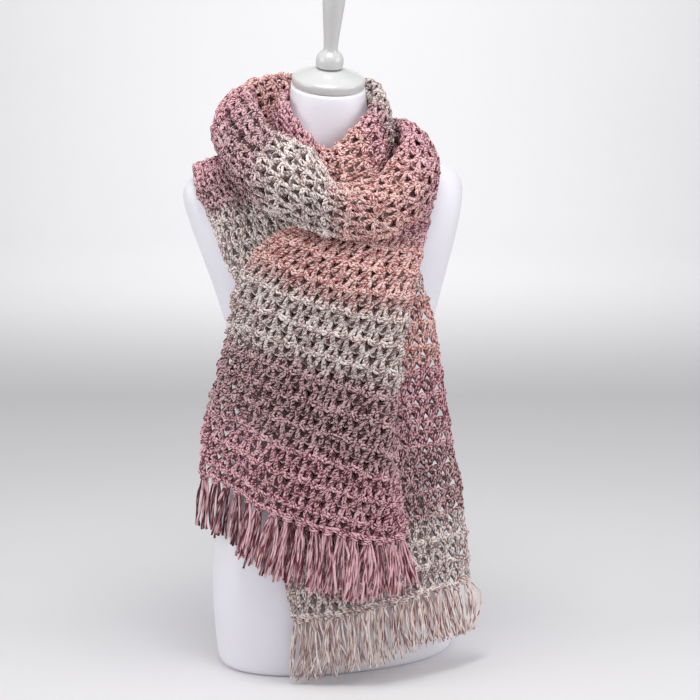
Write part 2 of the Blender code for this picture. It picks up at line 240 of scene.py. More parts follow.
def edit_alone(made):
    """Opens one object in edit mode, with all of its mesh selected."""
    bpy.ops.object.select_all(action="DESELECT")
    bpy.context.view_layer.objects.active = made
    made.select_set(True)
    bpy.ops.object.mode_set(mode="EDIT")
    bpy.ops.mesh.select_all(action="SELECT")


def rounded(node, name, sharp):
    """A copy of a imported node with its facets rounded, but for the edges picked."""
    made = frame["nodes"][node].copy()
    made.data = made.data.copy()
    made.name = name
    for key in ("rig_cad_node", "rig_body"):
        del made[key]
    made.parent = None
    bpy.context.collection.objects.link(made)
    edit_alone(made)
    bpy.ops.mesh.remove_doubles(threshold=SAME_POINT)
    bpy.ops.mesh.dissolve_limited(angle_limit=SAME_PLANE)
    bpy.ops.mesh.tris_convert_to_quads(face_threshold=QUAD_FACE, shape_threshold=QUAD_SHAPE)
    bpy.ops.object.mode_set(mode="OBJECT")
    crease = made.data.attributes.new("crease_edge", "FLOAT", "EDGE")
    at = [vertex.co for vertex in made.data.vertices]
    for edge in made.data.edges:
        if all(sharp(at[i]) for i in edge.vertices):
            crease.data[edge.index].value = 1.0
    smoothing = made.modifiers.new("rounding", "SUBSURF")
    smoothing.levels = SMOOTH_LEVELS
    smoothing.render_levels = SMOOTH_LEVELS
    bpy.ops.object.modifier_apply(modifier="rounding")
    bpy.ops.object.shade_smooth_by_angle(angle=SHARP_EDGE)
    made.select_set(False)
    return made


form = rounded("dress_form", "form_torso", lambda p: p.z < FOOT_EDGE or p.z > NECK_CUT)
skin = Finish("form_satin", Roughness=0.42, Specular_IOR_Level=0.35)
place = skin.node("ShaderNodeTexCoord", out="Object")
cloudy = skin.node("ShaderNodeTexNoise", None, Vector=place, Scale=7.0, Detail=3.0)
whites = [(0.35, paint(240, 238, 247)), (0.65, paint(245, 243, 250))]
skin.set("Base_Color", skin.node("ShaderNodeValToRGB", {"stops": whites}, cloudy))
pores = skin.node("ShaderNodeTexNoise", None, Vector=place, Scale=900.0, Detail=2.0)
skin.set("Normal", skin.node("ShaderNodeBump", None, Strength=0.12, Distance=0.0002, Height=pores))
form.data.materials.clear()
form.data.materials.append(skin.material)
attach(form, "root")
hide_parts("dress_form")

# --------------------------------------------------- the neck cap and its post
# Turned wood under gloss white paint: a shallow cone with a rim that covers the cut
# neck, and on it a round knob that carries the foot of the lifting post.
gloss = Finish("gloss_paint", Roughness=0.16, Specular_IOR_Level=0.5, Coat_Weight=0.4,
               Coat_Roughness=0.08)
place = gloss.node("ShaderNodeTexCoord", out="Object")
brushed = gloss.node("ShaderNodeTexNoise", None, Vector=place, Scale=60.0, Detail=4.0)
whites = [(0.3, paint(212, 213, 212)), (0.7, paint(217, 217, 216))]
gloss.set("Base_Color", gloss.node("ShaderNodeValToRGB", {"stops": whites}, brushed))
strokes = gloss.node("ShaderNodeBump", None, Strength=0.05, Distance=0.0003, Height=brushed)
gloss.set("Normal", strokes)
for node, name in (("neck_cap", "cap_cone"), ("cap_post", "cap_knob_and_post")):
    turned = rounded(node, name, lambda p: False)
    turned.data.materials.clear()
    turned.data.materials.append(gloss.material)
    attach(turned, "root")
    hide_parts(node)

# -------------------------------------------------------------- the front tail
# The end that hangs in front, 14 stitches across. Its left edge turns back round the
# form, its right edge is folded under, and it goes up over the shoulder at the right.
# The sections run from the hem upwards, as points at six wales (lines of stitches).
ROW = 0.0172
CLOTH = 0.005
REST = CLOTH / 2 + 0.0014
ON_SHOULDER = REST + 0.0012
OVER_TAIL = REST + CLOTH + 0.001
SOFT_WAVES = 0.0008
TAIL_STITCHES = 14
FRONT_WALES = (0.0, 0.21, 0.33, 0.62, 0.88, 1.0)
FRONT_SECTIONS = (
    ((-0.190, 0.012, 0.279), (-0.149, -0.038, 0.262), (-0.131, -0.084, 0.249),
     (-0.054, -0.138, 0.226), (0.019, -0.153, 0.208), (0.051, -0.147, 0.214)),
    ((-0.182, 0.006, 0.356), (-0.142, -0.050, 0.344), (-0.123, -0.092, 0.331),
     (-0.052, -0.141, 0.309), (0.016, -0.156, 0.285), (0.041, -0.148, 0.275)),
    ((-0.166, -0.007, 0.422), (-0.132, -0.064, 0.412), (-0.112, -0.101, 0.401),
     (-0.045, -0.143, 0.382), (0.021, -0.157, 0.358), (0.038, -0.142, 0.345)),
    ((-0.157, -0.024, 0.482), (-0.129, -0.080, 0.475), (-0.105, -0.112, 0.467),
     (-0.038, -0.146, 0.446), (0.034, -0.156, 0.424), (0.040, -0.139, 0.414)),
    ((-0.152, -0.052, 0.548), (-0.123, -0.094, 0.536), (-0.097, -0.120, 0.525),
     (-0.029, -0.149, 0.505), (0.042, -0.154, 0.488), (0.048, -0.138, 0.478)),
    ((-0.122, -0.087, 0.606), (-0.096, -0.112, 0.592), (-0.074, -0.128, 0.581),
     (-0.010, -0.150, 0.560), (0.060, -0.143, 0.552), (0.068, -0.131, 0.545)),
    ((-0.062, -0.094, 0.634), (-0.040, -0.103, 0.627), (-0.020, -0.108, 0.622),
     (0.034, -0.115, 0.607), (0.083, -0.105, 0.594), (0.091, -0.094, 0.588)),
    ((0.040, -0.076, 0.661), (0.050, -0.076, 0.658), (0.059, -0.075, 0.655),
     (0.083, -0.070, 0.649), (0.111, -0.060, 0.640), (0.119, -0.051, 0.635)),
    ((0.080, -0.010, 0.709), (0.088, -0.008, 0.705), (0.095, -0.007, 0.701),
     (0.112, -0.004, 0.694), (0.131, 0.000, 0.687), (0.139, 0.002, 0.683)),
    ((0.080, 0.046, 0.713), (0.088, 0.047, 0.709), (0.095, 0.048, 0.704),
     (0.112, 0.049, 0.700), (0.131, 0.051, 0.694), (0.138, 0.053, 0.690)),
)
FRONT_TASSEL_ENDS = ((-0.199, 0.006, 0.201), (-0.162, -0.048, 0.185), (-0.148, -0.089, 0.162),
                     (-0.060, -0.150, 0.132), (0.020, -0.166, 0.128), (0.062, -0.158, 0.142))
# The yarn changes colour by itself: 0 beige, 1 brown, 2 rose, 3 salmon, and round
# again at 4. Each stretch lists its rows of stitches and the colour reached there.
FRONT_COLOURS = ((0, 2.0), (4.4, 2.05), (5.6, 1.05), (11.3, 0.95), (12.3, 0.05), (17.2, -0.05),
                 (18.4, -0.95), (23.0, -1.05), (25.0, -2.0), (60, -2.0))

form_node = frame["nodes"]["dress_form"].data
form_tree = BVHTree.FromPolygons([v.co for v in form_node.vertices],
                                 [tuple(p.vertices) for p in form_node.polygons])


def smooth(knots, values, t):
    """A smooth curve through values at uneven knots, read at each t."""
    knots, values = np.asarray(knots, float), np.asarray(values, float)
    order = np.arange(len(knots))
    before, after = np.maximum(order - 1, 0), np.minimum(order + 1, len(knots) - 1)
    wide = (-1,) + (1,) * (values.ndim - 1)
    slope = (values[after] - values[before]) / (knots[after] - knots[before]).reshape(wide)
    i = np.clip(np.searchsorted(knots, t, side="right") - 1, 0, len(knots) - 2)
    span = (knots[i + 1] - knots[i]).reshape(wide)
    s = (t - knots[i]).reshape(wide) / span
    return ((2 * s ** 3 - 3 * s ** 2 + 1) * values[i] + (s ** 3 - 2 * s ** 2 + s) * span * slope[i]
            + (3 * s ** 2 - 2 * s ** 3) * values[i + 1] + (s ** 3 - s ** 2) * span * slope[i + 1])


def drift(generator, shape, soft):
    """Smooth random numbers on a grid, each about 1 in size."""
    rows, columns = (int(n / soft) + 4 for n in shape)
    coarse = generator.normal(size=(rows, columns))
    along = smooth(np.arange(rows), coarse, 1 + np.arange(shape[0]) / soft)
    return smooth(np.arange(columns), along.T, 1 + np.arange(shape[1]) / soft).T


def blur(values, i, j):
    """Values on a grid, read between its points and past its edges."""
    a = np.clip(np.floor(i).astype(int), 0, values.shape[0] - 2)
    b = np.clip(np.floor(j).astype(int), 0, values.shape[1] - 2)
    s, t = (i - a)[..., None], (j - b)[..., None]
    return ((values[a, b] * (1 - t) + values[a, b + 1] * t) * (1 - s)
            + (values[a + 1, b] * (1 - t) + values[a + 1, b + 1] * t) * s)


def unit(vectors):
    return vectors / np.maximum(np.linalg.norm(vectors, axis=-1, keepdims=True), 1e-12)


class Cloth:
    """One stretch of the scarf: a smooth surface that is counted in stitches.

    Its stitches open towards the last row, or towards the first one where they
    hang upside down, and their lines may lean across it by a share of a stitch
    for each row.
    """

    STEP = 0.004
    POINTS_A_STITCH = 8
    POINTS_A_WAVE = 9
    # How uneven the work is, in stitches across, rows and metres of height. It is drawn
    # twice in each stitch and row, with a margin round the stretch.
    JITTER = (0.06, 0.09, 0.0006)
    MARGIN = 4
    # Each edge has a straight tall stitch, and on a hanging tail one that leans in too.
    EDGE_LEAN = 0.32
    EDGE_GAP = 0.1

    def __init__(self, wales, sections, cells, gap, waves, seed, lean=0.0,
                 upside_down=True, gathered=False):
        sections = np.array(sections, float)
        steps = np.linalg.norm(np.diff(sections, axis=0), axis=2).mean(1)
        knots = np.concatenate([[0], np.cumsum(steps)])
        along = np.linspace(0, knots[-1], round(knots[-1] / self.STEP) + 1)
        across = np.linspace(0, 1, self.POINTS_A_STITCH * cells + 1)
        lines = smooth(knots, sections, along).transpose(1, 0, 2)
        points = smooth(wales, lines, across).transpose(1, 0, 2)
        self.random = np.random.default_rng(seed)
        self.settle(points, gap, 0)
        self.settle(points, gap, waves)
        lengths = np.linalg.norm(np.diff(points, axis=0), axis=2).sum(0)
        self.rows = round((lengths.max() if gathered else lengths.mean()) / ROW)
        self.cells = cells
        self.lean = lean
        self.upside_down = upside_down
        self.selvedges = (0.0,) if gathered else (0.0, self.EDGE_LEAN)
        self.marks = knots / knots[-1] * self.rows
        shape = (2 * (self.rows + self.MARGIN + 1), 2 * (cells + self.MARGIN + 1), 3)
        self.jitter = self.random.normal(size=shape) * self.JITTER

    def settle(self, points, gap, waves):
        """Keeps the points off the form, after they are raised in soft waves."""
        if waves:
            rise = drift(self.random, points.shape[:2], self.POINTS_A_WAVE) * waves
            points += self.normals * rise[..., None]
        for row in points:
            for k, point in enumerate(row):
                spot, normal, _, _ = form_tree.find_nearest(Vector(point))
                away = (Vector(point) - spot).dot(normal)
                if away < gap:
                    row[k] = spot + normal * gap
        self.points = points
        self.normals = unit(np.cross(np.gradient(points, axis=1), np.gradient(points, axis=0)))

    def dye(self, stops, marks=None):
        """The colours reached at rows, or at sections where these are marked."""
        at, self.phases = zip(*stops)
        self.stops = at if marks is None else np.interp(at, marks, self.marks)

    def colour(self, rows):
        """The yarn's colour at each row, as a share of its four colours."""
        return np.interp(rows, self.stops, self.phases) / 4 % 1

    def at(self, x, y, z):
        """Places on the stretch and the way out there, from stitches across, rows and height."""
        shake = blur(self.jitter, 2 * y + self.MARGIN, 2 * x + self.MARGIN)
        i = (y + shake[..., 1]) / self.rows * (self.points.shape[0] - 1)
        j = (x + shake[..., 0]) / self.cells * (self.points.shape[1] - 1)
        out = unit(blur(self.normals, i, j))
        return blur(self.points, i, j) + out * (z + shake[..., 2])[..., None], out

    def above(self, row, rise):
        """The row counted from the foot of a row of stitches by a share of its height."""
        return row + 1 - rise if self.upside_down else row + rise

    def feet(self, low, high):
        """Where the pairs of tall stitches stand, in rows low to high: lines and rows."""
        lines = np.arange(-self.rows, self.cells + self.rows)
        feet = [(line, row) for row in range(low, high) for line in lines + 0.5 * (row % 2)]
        last = self.cells - self.EDGE_GAP
        return np.array([(line, row) for line, row in feet
                         if self.EDGE_GAP < line + self.lean * (row + 0.5) < last])


class Yarn:
    """Strands of yarn, closed at their ends, that become one mesh."""

    SIDES = 5
    SPOOL = 5

    def __init__(self):
        self.points, self.colours, self.tones = [], [], []
        self.faces, self.corners, self.sizes = [], [], []
        self.count = 0

    def add(self, centres, out, radius, colour, tone, generator, slack=1.0):
        """Many strands at once: centres and outward ways by strand, step and axis.

        A slack strand has lost some of its twist. Each starts anywhere along a spool.
        """
        sides = self.SIDES
        strands, steps = centres.shape[:2]
        forward = unit(np.gradient(centres, axis=1))
        side = unit(np.cross(forward, out))
        up = np.cross(side, forward)
        angle = 2 * np.pi * np.arange(sides) / sides
        radius = np.broadcast_to(radius, (strands, steps))[..., None, None]
        ring = centres[:, :, None] + radius * (np.cos(angle)[:, None] * side[:, :, None]
                                               + np.sin(angle)[:, None] * up[:, :, None])
        self.points.append(ring.reshape(-1, 3))
        self.colours.append(np.repeat(np.broadcast_to(colour, (strands, steps)).reshape(-1), sides))
        self.tones.append(np.repeat(np.broadcast_to(tone, (strands, steps)).reshape(-1), sides))
        first = self.count + np.arange(strands)[:, None, None] * steps * sides
        low = first + np.arange(steps - 1)[:, None] * sides + np.arange(sides)
        near = first + np.arange(steps - 1)[:, None] * sides + (np.arange(sides) + 1) % sides
        self.faces.append(np.stack([low, low + sides, near + sides, near], -1).reshape(-1))
        self.sizes.append(np.full(low.size, 4))
        pieces = np.linalg.norm(np.diff(centres, axis=1), axis=2)
        length = np.concatenate([np.zeros((strands, 1)), np.cumsum(pieces, axis=1)], axis=1)
        length = length / slack + generator.uniform(0, self.SPOOL, size=(strands, 1))
        u = np.broadcast_to(np.arange(sides) / sides, low.shape)
        v = np.broadcast_to(length[:, :-1, None], low.shape)
        w = np.broadcast_to(length[:, 1:, None], low.shape)
        next_u = u + 1 / sides
        self.corners.append(np.stack([u, v, u, w, next_u, w, next_u, v], -1).reshape(-1, 2))
        begin = (first[:, 0] + np.arange(sides)).reshape(-1)
        end = (first[:, 0] + (steps - 1) * sides + np.arange(sides)[::-1]).reshape(-1)
        for cap, at in ((begin, length[:, 0]), (end, length[:, -1])):
            self.faces.append(cap)
            self.sizes.append(np.full(strands, sides))
            around = np.broadcast_to(np.arange(sides) / sides, (strands, sides))
            at = np.broadcast_to(at[:, None], around.shape)
            self.corners.append(np.stack([around, at], -1).reshape(-1, 2))
        self.count += strands * steps * sides

    def object(self, name, finish):
        points, faces = np.concatenate(self.points), np.concatenate(self.faces)
        sizes, corners = np.concatenate(self.sizes), np.concatenate(self.corners)
        mesh = bpy.data.meshes.new(name)
        mesh.vertices.add(len(points))
        mesh.vertices.foreach_set("co", points.astype(np.float32).reshape(-1))
        mesh.loops.add(len(faces))
        mesh.loops.foreach_set("vertex_index", faces.astype(np.int32))
        mesh.polygons.add(len(sizes))
        starts = np.concatenate([[0], np.cumsum(sizes)[:-1]])
        mesh.polygons.foreach_set("loop_start", starts.astype(np.int32))
        wound = mesh.uv_layers.new(name="along_yarn")
        wound.data.foreach_set("uv", corners.astype(np.float32).reshape(-1))
        for kind, values in (("dye", self.colours), ("tone", self.tones)):
            mesh.attributes.new(kind, "FLOAT", "POINT").data.foreach_set(
                "value", np.concatenate(values).astype(np.float32))
        mesh.update(calc_edges=True)
        mesh.shade_smooth()
        mesh.materials.append(finish.material)
        made = bpy.data.objects.new(name, mesh)
        bpy.context.collection.objects.link(made)
        return made


# A marled yarn: two plies twisted together, one lighter than the other, with slubs
# of paler and darker wool along it.
LIGHT_PLY = (paint(253, 244, 239), paint(223, 186, 189), paint(245, 197, 205), paint(252, 216, 209))
DARK_PLY = (paint(160, 130, 125), paint(88, 44, 49), paint(125, 54, 67), paint(170, 94, 91))
PLIES = 2
TWISTS_A_METRE = 170
marled = Finish("marled_yarn", Roughness=0.85, Specular_IOR_Level=0.2, Sheen_Weight=0.1,
                Sheen_Roughness=0.5)
along = marled.node("ShaderNodeUVMap", {"uv_map": "along_yarn"})
dye = marled.node("ShaderNodeAttribute", {"attribute_name": "dye"}, out="Fac")
parts = marled.node("ShaderNodeSeparateXYZ", None, along)
length = parts.output(1)
place = marled.node("ShaderNodeTexCoord", out="Object")
drawn = marled.node("ShaderNodeMapping", None, Vector=along, Scale=(0.01, 1.0, 1.0))
slub = marled.node("ShaderNodeTexNoise", None, Vector=drawn, Scale=210.0, Detail=2.0, Roughness=0.5)
haze = marled.node("ShaderNodeTexNoise", None, Vector=place, Scale=38.0, Detail=2.0)
tone = marled.node("ShaderNodeAttribute", {"attribute_name": "tone"}, out="Fac")
twist = ((parts * PLIES + length * TWISTS_A_METRE) * math.tau).sine()
# The share of the light ply: the slubs settle most of it, and the tone attribute the rest, which is a
# strand's own tone and, on the nets, painted shade.
ply = twist * 0.6 + slub * 6.5 + haze * 0.8 + tone * 0.25 - 3.05
stops = [(k / 4, k % 4) for k in range(5)]
pale = marled.node("ShaderNodeValToRGB", {"stops": [(at, LIGHT_PLY[k]) for at, k in stops]}, dye)
deep = marled.node("ShaderNodeValToRGB", {"stops": [(at, DARK_PLY[k]) for at, k in stops]}, dye)
blend = marled.mix(ply, deep, pale, clamp_factor=True)
# The tone attribute also scales the colour: a strand's own lightness, and on the nets painted shade,
# the shadow deep in the fabric.
shade = marled.node("ShaderNodeClamp", None, tone * 0.22 + 1.0, 0.3, 1.08)
marled.set("Base_Color", marled.mix(1.0, blend, shade, blend_type="MULTIPLY"))
fibres = marled.node("ShaderNodeTexNoise", None, Vector=place, Scale=1500.0, Detail=2.0)
grooves = twist * 0.5 + fibres * 0.5
relief = marled.node("ShaderNodeBump", None, Strength=0.9, Distance=0.0009, Height=grooves)
marled.set("Normal", relief)


# The stitch. Its tall stems: feet and heads in stitches across, start and length in
# rows, and then in metres how far they rise from the cloth and fall to their heads.
STEM_FOOT = 0.085
STEM_HEAD = 0.27
STEM_START = -0.12
STEM_LENGTH = 1.10
STEM_RISE = 0.0016
STEM_FALL = 0.0024
STEM_YARN = 0.0020
STEM_PLIES = 3
STEM_TURNS = 0.6
PLY_ACROSS = 0.090
PLY_DEEP = 0.0011
# Its chain: half its width in stitches, its height and bow in rows, its rise in metres.
CHAIN_REACH = 0.41
CHAIN_ROW = 0.98
CHAIN_BOW = 0.36
CHAIN_RISE = 0.0034
CHAIN_YARN = 0.0022
# Its edge stems and the braid along a hem.
EDGE_YARN = 0.0019
EDGE_INSET = 0.02
EDGE_SPILL = 0.16
BRAID_YARN = 0.0021


def crochet(cloth, name, low, high, hem=False):
    """The stitches of some rows: pairs of tall stitches that fan out from one foot,
    and over each pair a bowed link of chain. The work was turned after each row, so
    that the tall stitches stand out in one row and the chain does in the next. A hem
    has a braid of chain below its first row."""
    yarn = Yarn()
    draw = cloth.random

    def strands(line, x, y, z, thick, tone):
        x = np.clip(line + x + cloth.lean * y, -EDGE_SPILL, cloth.cells + EDGE_SPILL)
        dye = cloth.colour(y + draw.uniform(-0.6, 0.6, size=line.shape))
        thick = thick * draw.uniform(0.9, 1.1, size=line.shape)
        yarn.add(*cloth.at(x, y, z), thick, dye, tone + draw.normal(0, 0.4, size=line.shape), draw)

    def post(line, row, foot, head, thick):
        t = np.linspace(0, 1, 5)
        face = np.where(row % 2 == 0, 1.0, -1.0)
        y = cloth.above(row, STEM_START + STEM_LENGTH * t)
        for ply in range(STEM_PLIES):
            start = draw.uniform(-0.1, 0.1, size=line.shape)
            turn = math.tau * (STEM_TURNS * t + ply / STEM_PLIES + start)
            x = foot + (head - foot) * t + PLY_ACROSS * np.cos(turn)
            z = face * (STEM_RISE - STEM_FALL * t) + PLY_DEEP * np.sin(turn)
            strands(line, x, y, z, thick, 0.0)

    line, row = cloth.feet(low, high).T[..., None]
    face = np.where(row % 2 == 0, 1.0, -1.0)
    for side in (-1, 1):
        post(line, row, side * STEM_FOOT, side * STEM_HEAD, STEM_YARN)
    t = np.linspace(0, 1, 5)
    bow = np.sin(math.pi * t)
    for half in (-1, 1):
        y = cloth.above(row, CHAIN_ROW + CHAIN_BOW * (bow - 0.7) + half * 0.10 * (0.2 + bow))
        z = -face * (CHAIN_RISE * bow - 0.0004) + 0.0004 * half
        strands(line, CHAIN_REACH * (2 * t - 1), y, z, CHAIN_YARN, 0.25)
    t = np.linspace(-1, 1, 3)
    y = cloth.above(row, 0.97 + 0.04 * t ** 2)
    strands(line, 0.5 + 0.3 * t, y, -face * 0.0006, STEM_YARN, 0.0)
    if hem:
        line = np.arange(2 * cloth.cells)[:, None] / 2
        t = np.linspace(0, 1, 5)
        for half in (-1, 1):
            y = 0.10 * half * np.sin(math.pi * t) + 0.03 * (1 - 2 * t) - 0.03
            z = 0.0018 + 0.0012 * np.sin(math.pi * t)
            strands(line, 0.74 * t - 0.12 - cloth.lean * y, y + 0 * line, z, BRAID_YARN, 0.3)
    row = np.arange(low, high)[:, None]
    for selvedge, inward in ((EDGE_INSET, 1), (cloth.cells - EDGE_INSET, -1)):
        for head in cloth.selvedges:
            post(selvedge - cloth.lean * (row + 0.5), row, 0.0, inward * head, EDGE_YARN)
    made = yarn.object(name, marled)
    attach(made, "root")
    return made


# The net behind the stitches: half of the pair's outline, with half of its slit, in
# stitches across and shares of a row, and the band between two rows.
HALF_PAIR = ((0, 0.12), (0.25, 0.12), (0.5, 0.60), (0.5, 0.88), (0.25, 0.88), (0, 0.88),
             (0, 0.80), (0.07, 0.62), (0, 0.42))
BAND_HALF = 0.12
BAND_STEP = 0.25
LEAST_AREA = 0.004
NET_DEEP = -0.0003
# The nets' colour is darkened by painted shade, standing for the shadow deep in the fabric behind the
# stitches.
NET_PAINTED_SHADE = -2.2
NET_JOIN = 0.0002


def ground(cloth, name):
    """The stretch as one thin net, open between the pairs of tall stitches and in the slit of each
    pair. Its colour is darkened by painted shade, for the shadow deep in the fabric."""
    places, faces = [], []

    def face(*corners):
        flat = np.array([(x + cloth.lean * y, y) for x, y in corners])
        flat[:, 0] = np.clip(flat[:, 0], 0, cloth.cells)
        turned = np.roll(flat, -1, axis=0)
        area = (flat[:, 0] * turned[:, 1] - turned[:, 0] * flat[:, 1]).sum()
        if abs(area) > LEAST_AREA:
            faces.append(tuple(range(len(places), len(places) + len(flat))))
            places.extend(flat if area > 0 else flat[::-1])

    for line, row in cloth.feet(0, cloth.rows):
        for side in (-1, 1):
            face(*((line + side * x, cloth.above(row, y)) for x, y in HALF_PAIR))
    for row in range(cloth.rows + 1):
        low, high = max(row - BAND_HALF, 0), min(row + BAND_HALF, cloth.rows)
        start = math.floor(-cloth.lean * row) - 1
        for x in np.arange(start, start + cloth.cells + 3, BAND_STEP):
            face((x, low), (x + BAND_STEP, low), (x + BAND_STEP, high), (x, high))
    flat = np.array(places)
    placed, _ = cloth.at(flat[:, 0], flat[:, 1], np.full(len(flat), NET_DEEP))
    mesh = bpy.data.meshes.new(name)
    mesh.from_pydata(placed.tolist(), [], faces)
    mesh.uv_layers.new(name="along_yarn")
    for kind, values in (("dye", cloth.colour(flat[:, 1])), ("tone", np.full(len(flat), NET_PAINTED_SHADE))):
        mesh.attributes.new(kind, "FLOAT", "POINT").data.foreach_set(
            "value", values.astype(np.float32))
    mesh.materials.append(marled.material)
    made = bpy.data.objects.new(name, mesh)
    bpy.context.collection.objects.link(made)
    edit_alone(made)
    bpy.ops.mesh.remove_doubles(threshold=NET_JOIN)
    bpy.ops.mesh.dissolve_degenerate(threshold=NET_JOIN)
    bpy.ops.object.mode_set(mode="OBJECT")
    made.data.shade_smooth()
    made.select_set(False)
    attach(made, "root")
    return made


front = Cloth(FRONT_WALES, FRONT_SECTIONS, TAIL_STITCHES, ON_SHOULDER, SOFT_WAVES, seed=11, lean=0.18)
front.dye(FRONT_COLOURS)
front_middle = front.rows // 2
front_low = crochet(front, "front_tail_lower_stitches", 0, front_middle, hem=True)
front_high = crochet(front, "front_tail_upper_stitches", front_middle, front.rows)
front_net = ground(front, "front_tail_net")

# --------------------------------------------------------------- the under tail
# The other end, which hangs below and to the right. It goes up beneath the front
# tail, over the shoulder at the left and round to the middle of the back.
TAIL_WALES = (0.0, 0.25, 0.5, 0.75, 1.0)
UNDER_SECTIONS = (
    ((-0.094, -0.104, 0.095), (-0.040, -0.128, 0.105), (0.021, -0.136, 0.115),
     (0.093, -0.122, 0.121), (0.164, -0.092, 0.121)),
    ((-0.107, -0.088, 0.198), (-0.055, -0.123, 0.209), (0.005, -0.134, 0.219),
     (0.075, -0.121, 0.225), (0.154, -0.093, 0.222)),
    ((-0.114, -0.078, 0.307), (-0.067, -0.115, 0.319), (-0.012, -0.130, 0.326),
     (0.055, -0.123, 0.331), (0.132, -0.097, 0.330)),
    ((-0.118, -0.073, 0.401), (-0.079, -0.107, 0.411), (-0.028, -0.126, 0.419),
     (0.037, -0.122, 0.424), (0.116, -0.099, 0.425)),
    ((-0.131, -0.062, 0.492), (-0.090, -0.099, 0.501), (-0.041, -0.119, 0.508),
     (0.020, -0.121, 0.512), (0.099, -0.101, 0.510)),
    ((-0.156, -0.028, 0.567), (-0.113, -0.071, 0.580), (-0.067, -0.101, 0.588),
     (-0.008, -0.108, 0.592), (0.064, -0.094, 0.588)),
    ((-0.173, -0.011, 0.621), (-0.129, -0.036, 0.635), (-0.087, -0.066, 0.639),
     (-0.046, -0.081, 0.636), (0.005, -0.089, 0.628)),
    ((-0.183, 0.020, 0.661), (-0.143, 0.003, 0.674), (-0.110, -0.012, 0.684),
     (-0.086, -0.024, 0.686), (-0.060, -0.040, 0.680)),
    ((-0.182, 0.054, 0.689), (-0.145, 0.044, 0.701), (-0.125, 0.036, 0.705),
     (-0.109, 0.026, 0.707), (-0.095, 0.016, 0.709)),
    ((-0.150, 0.104, 0.664), (-0.130, 0.092, 0.686), (-0.116, 0.084, 0.698),
     (-0.105, 0.078, 0.706), (-0.093, 0.074, 0.711)),
    ((-0.094, 0.142, 0.616), (-0.088, 0.136, 0.654), (-0.084, 0.130, 0.684),
     (-0.080, 0.122, 0.706), (-0.068, 0.110, 0.696)),
    ((-0.040, 0.154, 0.598), (-0.039, 0.154, 0.650), (-0.038, 0.154, 0.698),
     (-0.036, 0.147, 0.738), (-0.034, 0.136, 0.698)),
    ((0.000, 0.155, 0.594), (0.000, 0.155, 0.649), (0.000, 0.156, 0.709),
     (0.000, 0.147, 0.756), (0.000, 0.139, 0.706)),
)
UNDER_TASSEL_ENDS = ((-0.088, -0.112, 0.004), (-0.034, -0.138, 0.018), (0.025, -0.148, 0.032),
                     (0.102, -0.132, 0.046), (0.178, -0.100, 0.048))
UNDER_COLOURS = ((0, 0.1), (5.4, 0.1), (6.4, 1.0), (10.8, 1.05), (12.4, 1.75), (17.9, 1.95),
                 (19.1, 3.0), (24.0, 3.0), (25.6, 4.0), (32.8, 4.0), (34.0, 4.95), (36.4, 5.1),
                 (38.0, 5.8), (60, 6.4))
under = Cloth(TAIL_WALES, UNDER_SECTIONS, TAIL_STITCHES, ON_SHOULDER, SOFT_WAVES, seed=12,
              upside_down=False)
under.dye(UNDER_COLOURS)
under_middle = under.rows // 2
under_low = crochet(under, "under_tail_lower_stitches", 0, under_middle, hem=True)
under_high = crochet(under, "under_tail_upper_stitches", under_middle, under.rows)
under_net = ground(under, "under_tail_net")

# --------------------------------------------------------------- the inner loop
# The wrap next to the neck, scrunched so that few of its stitches show. Each wale is
# (radius, height) at an angle round the neck: 0 in front, growing towards the right.
NECK_Y = 0.031
INNER_STITCHES = 6
INNER_WAVES = 0.0010
INNER_SECTIONS = (
    (-138, (0.0590, 0.751), (0.0610, 0.780), (0.0670, 0.770), (0.0690, 0.749), (0.0690, 0.736)),
    (-110, (0.0590, 0.746), (0.0620, 0.782), (0.0680, 0.767), (0.0720, 0.744), (0.0750, 0.732)),
    (-80, (0.0590, 0.736), (0.0630, 0.772), (0.0720, 0.757), (0.0790, 0.734), (0.0850, 0.722)),
    (-50, (0.0590, 0.716), (0.0630, 0.742), (0.0790, 0.733), (0.0900, 0.713), (0.0920, 0.701)),
    (-18, (0.0590, 0.698), (0.0640, 0.715), (0.0850, 0.702), (0.0990, 0.678), (0.1030, 0.668)),
    (15, (0.0590, 0.716), (0.0640, 0.741), (0.0850, 0.728), (0.1020, 0.698), (0.1070, 0.682)),
    (45, (0.0590, 0.732), (0.0650, 0.767), (0.0810, 0.760), (0.0920, 0.732), (0.0950, 0.716)),
    (75, (0.0600, 0.742), (0.0680, 0.787), (0.0790, 0.770), (0.0850, 0.739), (0.0870, 0.723)),
    (110, (0.0640, 0.744), (0.0740, 0.796), (0.0850, 0.774), (0.0890, 0.739), (0.0900, 0.721)),
    (145, (0.0700, 0.744), (0.0810, 0.799), (0.0920, 0.770), (0.0950, 0.734), (0.0950, 0.712)),
    (180, (0.0740, 0.744), (0.0860, 0.802), (0.0970, 0.767), (0.1000, 0.728), (0.0990, 0.706)),
)
# Its colours, by the angle where each is reached.
INNER_COLOURS = ((-138, 2.0), (-40, 2.0), (-14, 2.95), (10, 3.0), (22, 2.4), (32, 1.9), (42, 1.2),
                 (51, 0.3), (130, 0.0), (160, -0.8), (180, -1.0))


def round_neck(angle, *wales):
    """The wales of a section that is given by its angle round the neck."""
    turn = math.radians(angle)
    return [(radius * math.sin(turn), NECK_Y - radius * math.cos(turn), height)
            for radius, height in wales]


inner = Cloth(TAIL_WALES, [round_neck(*row) for row in INNER_SECTIONS], INNER_STITCHES, REST,
              INNER_WAVES, seed=13, gathered=True)
inner.dye(INNER_COLOURS, [row[0] for row in INNER_SECTIONS])
inner_stitches = crochet(inner, "inner_loop_stitches", 0, inner.rows)
inner_net = ground(inner, "inner_loop_net")

